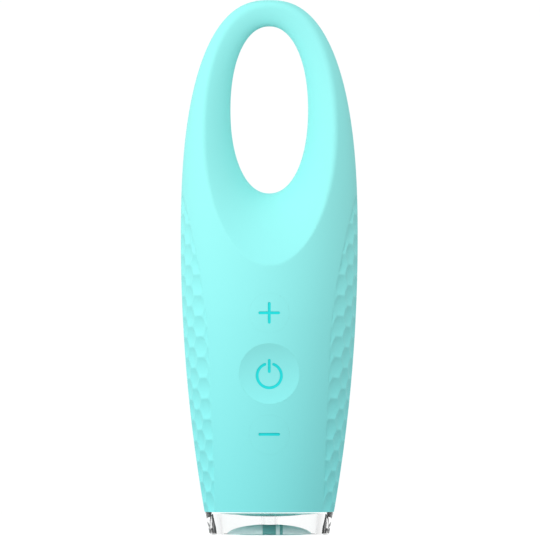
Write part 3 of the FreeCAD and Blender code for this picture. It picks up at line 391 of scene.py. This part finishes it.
def rough_handle():
    """Coarse solid of the handle and loop, reaching a little below the skin's lower edge."""
    angles = circle_angles(ROUGH_SPOKES)
    rise = np.sin(np.linspace(0, ROUGH_LAST_ANGLE, ROUGH_HIGH_RINGS))
    heights = np.concatenate([
        np.linspace(EDGE_Z - ROUGH_OVERHANG, DEEPEST_Z, ROUGH_LOW_RINGS, endpoint=False),
        DEEPEST_Z + (HEIGHT - DEEPEST_Z) * rise,
    ])
    rings = []
    for z in heights:
        y_side = np.sin(angles)
        x = half_width(z) * np.cos(angles)
        y = half_depth(z, y_side) * y_side
        rings.append(np.stack([x, y, np.full_like(x, z)], axis=1))
    return rings_to_mesh("rough_handle", rings, (0, 0, HEIGHT))


def rough_opening():
    """Coarse solid of the loop's flared opening, running out past the front and the back."""
    angles = circle_angles(ROUGH_SPOKES)
    across = np.sign(np.cos(angles)) * np.abs(np.cos(angles)) ** (2 / LOOP_POWER)
    up = np.sign(np.sin(angles)) * np.abs(np.sin(angles)) ** (2 / LOOP_POWER)
    rings = []
    for turn in np.linspace(-FLARE_LAST_ANGLE, FLARE_LAST_ANGLE, FLARE_RINGS):
        roll = 1 - math.cos(turn)
        side, below, above = FRONT_FLARE if turn > 0 else BACK_FLARE
        low_z, high_z = LOOP_LOW_Z - below * roll, LOOP_HIGH_Z + above * roll
        z = (low_z + high_z) / 2 + (high_z - low_z) / 2 * up
        y = THROAT_Y - math.sin(turn) * flare_depth(z)
        rings.append(np.stack([(LOOP_HALF_WIDTH + side * roll) * across, y, z], axis=1))
    back, front = rings[0].copy(), rings[-1].copy()
    back[:, 1] = HALF_DEPTH * 2
    front[:, 1] = -HALF_DEPTH * 2
    return rings_to_mesh("rough_opening", [back, *rings, front])


def rough_skin():
    """Even mesh near the skin's outside."""
    handle = rough_handle()
    cut_away(handle, rough_opening())
    even = handle.modifiers.new("even", "REMESH")
    even.mode = "VOXEL"
    even.voxel_size = VOXEL
    mesh = modified_mesh(handle)
    bpy.data.objects.remove(handle)
    return mesh


def vertex_array(mesh):
    points = np.empty(len(mesh.vertices) * 3)
    mesh.vertices.foreach_get("co", points)
    return points.reshape(-1, 3)


def edge_array(mesh):
    ends = np.empty(len(mesh.edges) * 2, np.int64)
    mesh.edges.foreach_get("vertices", ends)
    return ends.reshape(-1, 2)


def relaxed(points, edges):
    """Points drawn halfway to the mean of their neighbours."""
    first, second = edges.T
    count = np.bincount(edges.ravel(), minlength=len(points))
    mean = np.empty_like(points)
    for axis in range(3):
        total = np.bincount(first, points[second, axis], len(points))
        total += np.bincount(second, points[first, axis], len(points))
        mean[:, axis] = total / count
    return (points + mean) / 2


def cut_holes(bm, holes):
    """Takes out the faces inside each button's hole, and draws the edge left onto the true circle."""
    for z, radius in holes:
        inside = []
        for face in bm.faces:
            middle = face.calc_center_median()
            if middle.y < 0 and math.hypot(middle.x, middle.z - z) < radius:
                inside.append(face)
        bmesh.ops.delete(bm, geom=inside, context="FACES")
        for v in bm.verts:
            away = math.hypot(v.co.x, v.co.z - z)
            if not v.is_boundary or abs(away - radius) > 2 * VOXEL:
                continue
            v.co.x *= radius / away
            v.co.z = z + (v.co.z - z) * radius / away
            v.co.y = float(front_y(v.co.x, v.co.z))


def keep_clear(inner, outer, z, radius):
    """Moves points of the inner side out of a button's hole, in the order of the points over them."""
    away = np.hypot(inner[:, 0], inner[:, 2] - z)
    least = radius + HOLE_CLEAR_SHARE * (np.hypot(outer[:, 0], outer[:, 2] - z) - radius)
    near = (inner[:, 1] < 0) & (away < least)
    grow = least[near] / away[near]
    inner[near, 0] *= grow
    inner[near, 2] = z + (inner[near, 2] - z) * grow


def inner_side(outer, rim_edges, holes):
    """Points of the skin's inner side, one under each point of its outside."""
    inner = outer
    for _ in range(INSET_STEPS):
        _, normal = skin_distance(inner)
        inner = inner - normal * SKIN_WALL / INSET_STEPS
    inner = settled(inner, SETTLE_ROUNDS, SKIN_WALL)
    for z, radius in holes:
        keep_clear(inner, outer, z, radius)
    rim = np.unique(np.array(rim_edges))
    at_edge = rim[outer[rim, 2] < EDGE_Z + PROBE]
    at_hole = rim[outer[rim, 2] >= EDGE_Z + PROBE]
    inner[at_edge, 2] = EDGE_Z
    inner[at_hole, 0] = outer[at_hole, 0]
    inner[at_hole, 2] = outer[at_hole, 2]
    return inner


def build_skin(holes):
    """The dimpled skin with its inner side, open at its lower edge, with a hole for each button."""
    mesh = rough_skin()
    edges = edge_array(mesh)
    points = settled(vertex_array(mesh), SETTLE_ROUNDS)
    for _ in range(RELAX_ROUNDS):
        points = settled(relaxed(points, edges), RELAX_SETTLE_ROUNDS)
    points = settled(points, DIMPLE_ROUNDS, dimpled=True)
    mesh.vertices.foreach_set("co", points.astype(np.float32).ravel())

    bm = bmesh.new()
    bm.from_mesh(mesh)
    everything = [*bm.verts, *bm.edges, *bm.faces]
    edge = {"plane_co": (0, 0, EDGE_Z), "plane_no": (0, 0, 1)}
    bmesh.ops.bisect_plane(bm, geom=everything, clear_inner=True, **edge)
    cut_holes(bm, holes)
    bm.verts.index_update()
    outer = np.array([v.co for v in bm.verts])
    faces = [[v.index for v in f.verts] for f in bm.faces]
    rim_edges = [
        (loop.vert.index, loop.link_loop_next.vert.index)
        for loop in (e.link_loops[0] for e in bm.edges if e.is_boundary)
    ]
    bm.free()

    count = len(outer)
    faces += [[count + i for i in reversed(face)] for face in faces]
    faces += [[j, i, count + i, count + j] for i, j in rim_edges]
    inner = inner_side(outer, rim_edges, holes)
    skin = new_object("dimpled_skin", np.vstack([outer, inner]), faces)
    shade(skin)
    return skin


def bar_outline(x, z, length, upright):
    """Outline of a straight icon stroke with round ends, in X and Z."""
    reach, half = length / 2 - ICON_STROKE / 2, ICON_STROKE / 2 + GROOVE_GAP
    points = []
    for end in (1, -1):
        for angle in np.linspace(-math.pi / 2, math.pi / 2, ICON_END_POINTS):
            along = end * (reach + half * math.cos(angle))
            side = end * half * math.sin(angle)
            points.append((x - side, z + along) if upright else (x + along, z + side))
    return points


def ring_outline(z):
    """Outline of the power icon's ring, open at the top, with round ends."""
    half = ICON_STROKE / 2 + GROOVE_GAP
    first, last = RING_GAP_ANGLE, 2 * math.pi - RING_GAP_ANGLE

    def at(angle, radius):
        return math.sin(angle) * radius, z + math.cos(angle) * radius

    def end_cap(angle, turn):
        x, z_end = at(angle, RING_RADIUS)
        for step in np.linspace(0, math.pi, ICON_END_POINTS)[1:-1]:
            away = half * math.cos(step)
            on = turn * half * math.sin(step)
            yield (
                x + math.sin(angle) * away + math.cos(angle) * on,
                z_end + math.cos(angle) * away - math.sin(angle) * on,
            )

    outside = [at(a, RING_RADIUS + half) for a in np.linspace(first, last, ICON_ARC_POINTS)]
    inside = [at(a, RING_RADIUS - half) for a in np.linspace(last, first, ICON_ARC_POINTS)]
    finish = list(end_cap(last, 1))
    start = list(end_cap(first, -1))
    return outside + finish + inside + start[::-1]


def icon_outlines(name, z):
    if name == "power":
        bar_z = z + (BAR_TOP + BAR_BOTTOM) / 2
        return [ring_outline(z - RING_DROP), bar_outline(0, bar_z, BAR_TOP - BAR_BOTTOM, True)]
    bars = [bar_outline(0, z, LEVEL_ICON_LENGTH, False)]
    if name == "plus":
        bars.append(bar_outline(0, z, LEVEL_ICON_LENGTH, True))
    return bars


def button_place(name):
    """Height of a button's centre, and its hole's radius."""
    low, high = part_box(name + "_button")
    return (low.z + high.z) / 2, (high.x - low.x) / 2 + CAD_CAP_GAP


def build_cap(name, z, radius):
    """A button's silicone cap, its rim flush with the skin, with a groove for each stroke of its icon."""
    dish = DISH_DEPTH if name == "power" else 0.0
    radius = radius - CAP_GAP
    angles = circle_angles(CAP_SPOKES)
    front = float(front_y(0.0, z))
    rings = []
    for share in np.linspace(0, 1, CAP_RINGS + 1)[1:]:
        x, up = radius * share * np.cos(angles), z + radius * share * np.sin(angles)
        rings.append(np.stack([x, front_y(x, up) + dish * (1 - share**DISH_POWER), up], axis=1))
    low = rings[-1].copy()
    low[:, 1] = front + CAP_DEPTH
    rings.append(low)
    dish_y = front + dish
    cap = rings_to_mesh(name + "_cap", rings[::-1], (0, dish_y, z))
    cutter_ends = (dish_y - GROOVE_CUTTER_REACH, dish_y + GROOVE_DEPTH)
    for outline in icon_outlines(name, z):
        stroke = [[(x, y, up) for x, up in outline] for y in cutter_ends]
        cut_away(cap, rings_to_mesh("stroke", stroke))
    shade(cap, 30.0)
    return cap


def build_foot():
    """The clear cup: tapered, with a round lower edge, and a ledge inside round its mouth."""
    high = FOOT_HIGH.z - FOOT_LOW.z
    angles = circle_angles(FOOT_SPOKES)

    def ring(inset, z):
        x, y = (FOOT_HIGH.x - inset) * np.cos(angles), (FOOT_HIGH.y - inset) * np.sin(angles)
        return np.stack([x, y, np.full_like(x, z)], axis=1)

    chamber_low = FOOT_TAPER + FOOT_LOW_WALL
    rings = [ring(FOOT_WALL, high - FOOT_TOP_GAP), ring(0.0, high - FOOT_TOP_GAP)]
    for turn in np.linspace(0, math.pi / 2, FOOT_EDGE_RINGS):
        z = FOOT_EDGE_ROUND * (1 - math.sin(turn))
        rings.append(ring(FOOT_TAPER * (1 - z / high) + FOOT_EDGE_ROUND * (1 - math.cos(turn)), z))
    rings += [ring(chamber_low + LEDGE_WIDTH, 0.0), ring(chamber_low + LEDGE_WIDTH, LEDGE_HEIGHT)]
    rings.append(ring(chamber_low, LEDGE_HEIGHT))
    vertices, faces = [], []
    for row, points in enumerate(rings):
        vertices += [tuple(p) for p in points]
        a, b = row * FOOT_SPOKES, (row + 1) % len(rings) * FOOT_SPOKES
        for i in range(FOOT_SPOKES):
            j = (i + 1) % FOOT_SPOKES
            faces.append((a + i, b + i, b + j, a + j))
    foot = new_object("clear_foot", vertices, faces)
    outward(foot)
    shade(foot, 30.0)
    return foot


def liner_section(x):
    """Outline of the thin domed liner at x: from one end over its top, and back along its underside."""
    inset = FOOT_TAPER + FOOT_LOW_WALL + LINER_GAP
    shrink = math.sqrt(1 - (x / (FOOT_HIGH.x - inset)) ** 2)
    points = []
    for share, order in ((1.0, 1), (LINER_INNER_SHARE, -1)):
        reach, rise = (FOOT_HIGH.y - inset) * shrink * share, LINER_HEIGHT * shrink * share
        start = math.asin(LINER_LIFT / rise)
        for turn in np.linspace(start, math.pi - start, LINER_POINTS)[::order]:
            points.append((x, reach * math.cos(turn), LEDGE_HEIGHT + rise * math.sin(turn)))
    return points


def build_liner(name, spans):
    """Slices of the liner, each between two places across the foot, round the socket's hole."""
    count = 2 * LINER_POINTS
    vertices, faces = [], []
    for first, last in spans:
        start = len(vertices)
        places = np.linspace(first, last, 2 + int((last - first) / LINER_STEP))
        for x in places:
            vertices += liner_section(x)
        for row in range(len(places) - 1):
            a, b = start + row * count, start + (row + 1) * count
            faces += [(a + i, a + (i + 1) % count, b + (i + 1) % count, b + i) for i in range(count)]
        for a in (start, len(vertices) - count):
            b = a + count - 1
            faces += [(a + i, a + i + 1, b - i - 1, b - i) for i in range(LINER_POINTS - 1)]
    liner = new_object(name, vertices, faces)
    angles = circle_angles(LINER_HOLE_SPOKES)
    x, y = LINER_HOLE * np.cos(angles), LINER_HOLE * np.sin(angles)
    hole = [np.stack([x, y, np.full_like(x, z)], axis=1) for z in (-MM, FOOT_HIGH.z)]
    cut_away(liner, rings_to_mesh("hole", hole))
    shade(liner, 30.0)
    return liner


def node_material(name):
    """New node material, its tree and its shader."""
    material = bpy.data.materials.new(name)
    material.use_nodes = True
    tree = material.node_tree
    return material, tree, tree.nodes["Principled BSDF"]


def grain(tree, scale, detail=3.0):
    """Fine noise over the object's own coordinates."""
    place = tree.nodes.new("ShaderNodeTexCoord")
    noise = tree.nodes.new("ShaderNodeTexNoise")
    noise.inputs["Scale"].default_value = scale
    noise.inputs["Detail"].default_value = detail
    tree.links.new(place.outputs["Object"], noise.inputs["Vector"])
    return noise.outputs["Fac"]


def ramp(tree, source, low, high, start=0.3, end=0.7):
    """Colours from low to high as the source goes from start to end."""
    node = tree.nodes.new("ShaderNodeValToRGB")
    node.color_ramp.elements[0].position = start
    node.color_ramp.elements[0].color = (*low, 1)
    node.color_ramp.elements[1].position = end
    node.color_ramp.elements[1].color = (*high, 1)
    tree.links.new(source, node.inputs["Fac"])
    return node.outputs["Color"]


def bump(tree, shader, source, strength, distance):
    """Fine relief of the surface's shading."""
    node = tree.nodes.new("ShaderNodeBump")
    node.inputs["Strength"].default_value = strength
    node.inputs["Distance"].default_value = distance
    tree.links.new(source, node.inputs["Height"])
    tree.links.new(node.outputs["Normal"], shader.inputs["Normal"])


def moulded(name, colour, roughness, scale=1500.0, spread=0.05, metallic=0.0, specular=0.5):
    """Coloured material with a fine grain in its colour, roughness and relief."""
    material, tree, shader = node_material(name)
    noise = grain(tree, scale)
    low = tuple(c * (1 - spread) for c in colour)
    high = tuple(min(1.0, c * (1 + spread)) for c in colour)
    tree.links.new(ramp(tree, noise, low, high), shader.inputs["Base Color"])
    rough = tree.nodes.new("ShaderNodeMapRange")
    rough.inputs["To Min"].default_value = roughness * 0.9
    rough.inputs["To Max"].default_value = roughness * 1.1
    tree.links.new(noise, rough.inputs["Value"])
    tree.links.new(rough.outputs["Result"], shader.inputs["Roughness"])
    bump(tree, shader, noise, 0.15, 0.02 * MM)
    shader.inputs["Metallic"].default_value = metallic
    shader.inputs["Specular IOR Level"].default_value = specular
    return material


def silicone(name, low_colour, painted_lit_top_colour):
    """Soft matte silicone, painted a little paler up towards the loop: painted light, standing in for
    light shining through the thin silicone there.
    """
    material, tree, shader = node_material(name)
    place = tree.nodes.new("ShaderNodeTexCoord")
    parts = tree.nodes.new("ShaderNodeSeparateXYZ")
    tree.links.new(place.outputs["Object"], parts.inputs["Vector"])
    # Painted light: the colour runs from low_colour at the foot to a paler tone at the loop, as if lit
    # through the thin silicone
    height = tree.nodes.new("ShaderNodeMapRange")
    height.inputs["From Max"].default_value = LOOP_LOW_Z
    tree.links.new(parts.outputs["Z"], height.inputs["Value"])
    noise = grain(tree, 2500.0)
    mixed = tree.nodes.new("ShaderNodeMath")
    mixed.operation = "MULTIPLY_ADD"
    mixed.inputs[1].default_value = SILICONE_GRAIN
    tree.links.new(noise, mixed.inputs[0])
    tree.links.new(height.outputs["Result"], mixed.inputs[2])
    colour = ramp(tree, mixed.outputs["Value"], low_colour, painted_lit_top_colour, 0.0, 1.0)
    tree.links.new(colour, shader.inputs["Base Color"])
    shader.inputs["Roughness"].default_value = 0.6
    shader.inputs["Specular IOR Level"].default_value = 0.15
    bump(tree, shader, noise, 0.15, 0.01 * MM)
    return material


def clear_acrylic(name):
    """Polished clear plastic with a faint unevenness in its tint and a weak surface reflection."""
    material, tree, shader = node_material(name)
    tint = ramp(tree, grain(tree, 60.0), (0.97, 0.985, 0.985), (1.0, 1.0, 1.0))
    tree.links.new(tint, shader.inputs["Base Color"])
    shader.inputs["Transmission Weight"].default_value = 1.0
    shader.inputs["IOR"].default_value = 1.49
    shader.inputs["Specular Tint"].default_value = (0.3, 0.3, 0.3, 1)
    shader.inputs["Roughness"].default_value = 0.0
    return material


MATERIALS = {
    # Skin and icon: the second colour is a painted paler tone at the loop, painted light standing in for
    # light through the thin silicone
    "skin": lambda: silicone("skin_silicone", (0.237, 0.845, 0.85), (0.302, 0.855, 0.83)),
    "icon": lambda: silicone("icon_silicone", (0.012, 0.72, 0.73), (0.016, 0.74, 0.74)),
    "shell": lambda: moulded("shell_plastic", (0.78, 0.82, 0.82), 0.45),
    "clear": lambda: clear_acrylic("clear_acrylic"),
    "teal": lambda: moulded("teal_plastic", (0.18, 0.62, 0.59), 0.5, specular=0.05),
    "pale_liner": lambda: moulded("pale_teal_plastic", (0.62, 0.8, 0.8), 0.5, specular=0.05),
    # Dark liner strips: the socket tube's teal, darkened with painted shade of the gap it shows through
    "dark_liner": lambda: moulded("tube_teal_and_painted_shade", (0.1, 0.38, 0.37), 0.5, specular=0.05),
    "seal": lambda: moulded("seal_rubber", (0.03, 0.03, 0.035), 0.6),
    "steel": lambda: moulded("plain_steel", (0.6, 0.61, 0.62), 0.3, scale=4000.0, metallic=1.0),
    "board": lambda: moulded("solder_mask", (0.02, 0.12, 0.05), 0.35),
    "chip": lambda: moulded("chip_resin", (0.02, 0.02, 0.025), 0.5),
    "contact": lambda: moulded("plated_contact", (0.8, 0.6, 0.28), 0.25, metallic=1.0),
    "cell": lambda: moulded("cell_sleeve", (0.06, 0.14, 0.3), 0.35),
    "foam": lambda: moulded("grey_foam", (0.14, 0.145, 0.155), 0.9, scale=6000.0, spread=0.3),
    "lamp": lambda: moulded("lamp_resin", (0.9, 0.88, 0.75), 0.2),
    "wire": lambda: moulded("wire_sleeve", (0.45, 0.03, 0.03), 0.4),
}


def dress(obj, material):
    obj.data.materials.clear()
    obj.data.materials.append(material)


def lay_floor():
    """Pale floor with a glow of its own, which throws no colour onto the object."""
    bpy.ops.mesh.primitive_circle_add(
        vertices=FLOOR_SPOKES, radius=FLOOR_RADIUS, fill_type="NGON", location=(0, 0, 0)
    )
    floor = bpy.context.object
    floor.name = "floor"
    material, tree, shader = node_material("pale_floor")
    pale = ramp(tree, grain(tree, 40.0), (0.33, 0.33, 0.33), (0.35, 0.35, 0.35))
    tree.links.new(pale, shader.inputs["Base Color"])
    shader.inputs["Roughness"].default_value = 0.7
    shader.inputs["Emission Color"].default_value = (1, 1, 1, 1)
    shader.inputs["Emission Strength"].default_value = 0.8
    dress(floor, material)
    floor.visible_diffuse = False


def light_walls():
    """White surroundings, each wall with its own strength, brightest behind the object."""
    world = bpy.data.worlds.new("studio")
    world.use_nodes = True
    bpy.context.scene.world = world
    tree = world.node_tree
    place = tree.nodes.new("ShaderNodeTexCoord")
    background = tree.nodes["Background"]
    background.inputs["Color"].default_value = (1, 1, 1, 1)
    total = tree.nodes.new("ShaderNodeMath")
    tree.links.new(total.outputs["Value"], background.inputs["Strength"])
    halves = (("MAXIMUM", WALLS_RIGHT_BACK_TOP), ("MINIMUM", WALLS_LEFT_FRONT_BOTTOM))
    for side, (keep, strengths) in enumerate(halves):
        half = tree.nodes.new("ShaderNodeVectorMath")
        half.operation = keep
        tree.links.new(place.outputs["Generated"], half.inputs[0])
        square = tree.nodes.new("ShaderNodeVectorMath")
        square.operation = "MULTIPLY"
        for socket in square.inputs[:2]:
            tree.links.new(half.outputs["Vector"], socket)
        weighed = tree.nodes.new("ShaderNodeVectorMath")
        weighed.operation = "DOT_PRODUCT"
        weighed.inputs[1].default_value = strengths
        tree.links.new(square.outputs["Vector"], weighed.inputs[0])
        tree.links.new(weighed.outputs["Value"], total.inputs[side])


def hang_flag():
    """Black flag behind the object, seen only through clear plastic, which darkens the foot's sides."""
    left, right = -FLAG_HALF_LENGTH, FLAG_HALF_LENGTH
    outline = ((left, FLAG_LOW_Z), (right, FLAG_LOW_Z), (right, FLAG_HIGH_Z), (left, FLAG_HIGH_Z))
    flag = new_object("black_flag", [(x, FLAG_Y, z) for x, z in outline], [(0, 1, 2, 3)])
    dress(flag, moulded("black_cloth", (0.004, 0.004, 0.004), 0.9))
    flag.visible_camera = False
    flag.visible_diffuse = False
    flag.visible_glossy = False
    flag.visible_volume_scatter = False
    flag.visible_shadow = False


def add_lamp(name, place, power):
    """Round soft lamp that faces the middle of the object."""
    lamp = bpy.data.lights.new(name, "AREA")
    lamp.shape = "DISK"
    lamp.size = LAMP_SIZE
    lamp.energy = power
    obj = bpy.data.objects.new(name, lamp)
    bpy.context.scene.collection.objects.link(obj)
    obj.location = place
    x, y, z = np.array(place) - np.array((0, 0, HEIGHT / 2))
    tilt = math.acos(z / math.hypot(x, y, z))
    obj.rotation_euler = (tilt, 0, math.atan2(y, x) + math.pi / 2)


def studio():
    lay_floor()
    light_walls()
    hang_flag()
    add_lamp("front_lamp", FRONT_LAMP_PLACE, FRONT_LAMP_POWER)
    add_lamp("side_lamp", SIDE_LAMP_PLACE, SIDE_LAMP_POWER)


def aim_camera():
    """Camera straight in front, far off, with the photograph's framing."""
    camera = bpy.data.cameras.new("camera")
    camera.sensor_width = SENSOR
    camera.lens = SENSOR * CAMERA_DISTANCE / VIEW_WIDTH
    camera.clip_end = 10 * CAMERA_DISTANCE
    obj = bpy.data.objects.new("camera", camera)
    bpy.context.scene.collection.objects.link(obj)
    obj.location = (VIEW_CENTRE[0], -CAMERA_DISTANCE, VIEW_CENTRE[1])
    obj.rotation_euler = (math.pi / 2, 0, 0)
    bpy.context.scene.camera = obj


def main():
    materials = {slot: make() for slot, make in MATERIALS.items()}
    for part in frame["record"]["subparts"]:
        dress(frame["nodes"][part["node"]], materials[part["material_slot"]])

    places = {name: button_place(name) for name in BUTTON_NAMES}
    skin = build_skin(places.values())
    dress(skin, materials["skin"])
    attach(skin, "housing")
    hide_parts("silicone_skin")
    for name, (z, radius) in places.items():
        cap = build_cap(name, z, radius)
        dress(cap, materials["skin"])
        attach(cap, name + "_button")
        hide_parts(name + "_button")

    foot = build_foot()
    dress(foot, materials["clear"])
    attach(foot, "housing")
    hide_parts("base_foot")
    # The dark liner slices are painted: the socket tube's teal with painted shade of the gap over it
    for name, spans in (("pale_liner", LINER_PALE_SPANS), ("dark_liner", LINER_DARK_SPANS)):
        liner = build_liner(name, spans)
        dress(liner, materials[name])
        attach(liner, "housing")
        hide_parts("foot_liner")

    studio()
    aim_camera()
    bpy.context.scene.view_settings.view_transform = "Standard"


main()
